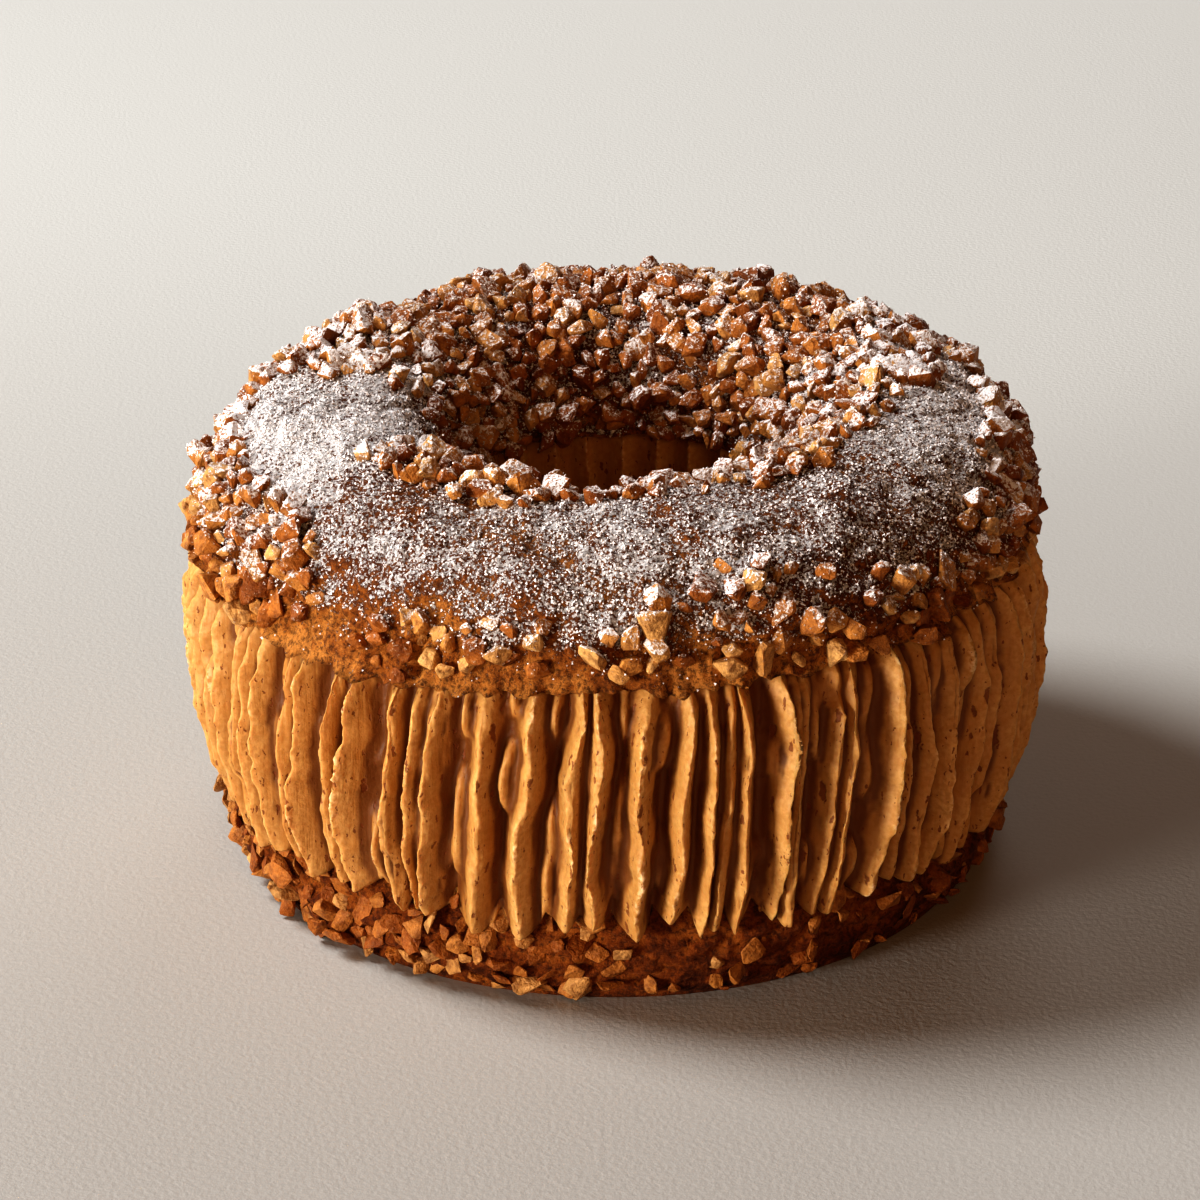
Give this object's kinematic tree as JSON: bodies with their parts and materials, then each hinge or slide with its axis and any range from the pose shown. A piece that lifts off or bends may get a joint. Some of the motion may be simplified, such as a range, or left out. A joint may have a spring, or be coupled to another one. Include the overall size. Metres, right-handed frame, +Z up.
{
  "type": "paris-brest pastry",
  "caption": "Round choux ring pastry, split in two, with ribbed piped praline cream between its base and its domed lid.",
  "frame": {"origin": "on the table under the middle of the ring's hole", "axes": "+Z up through the hole; the part is round about +Z, and -Y faces the viewer of the usual three-quarter view"},
  "size_m": [0.0997, 0.0997, 0.0566],
  "materials": {
    "baked_choux": "baked golden-brown choux crust, dry and matt",
    "praline_cream": "soft caramel-brown praline buttercream, satin",
    "roasted_nut": "chopped roasted nuts, matt with slightly glossy cut faces",
    "icing_sugar": "fine white powdered sugar"
  },
  "bodies": {
    "root": {"choux_base": "baked_choux", "praline_cream": "praline_cream", "choux_lid": "baked_choux"}
  },
  "joints": []
}
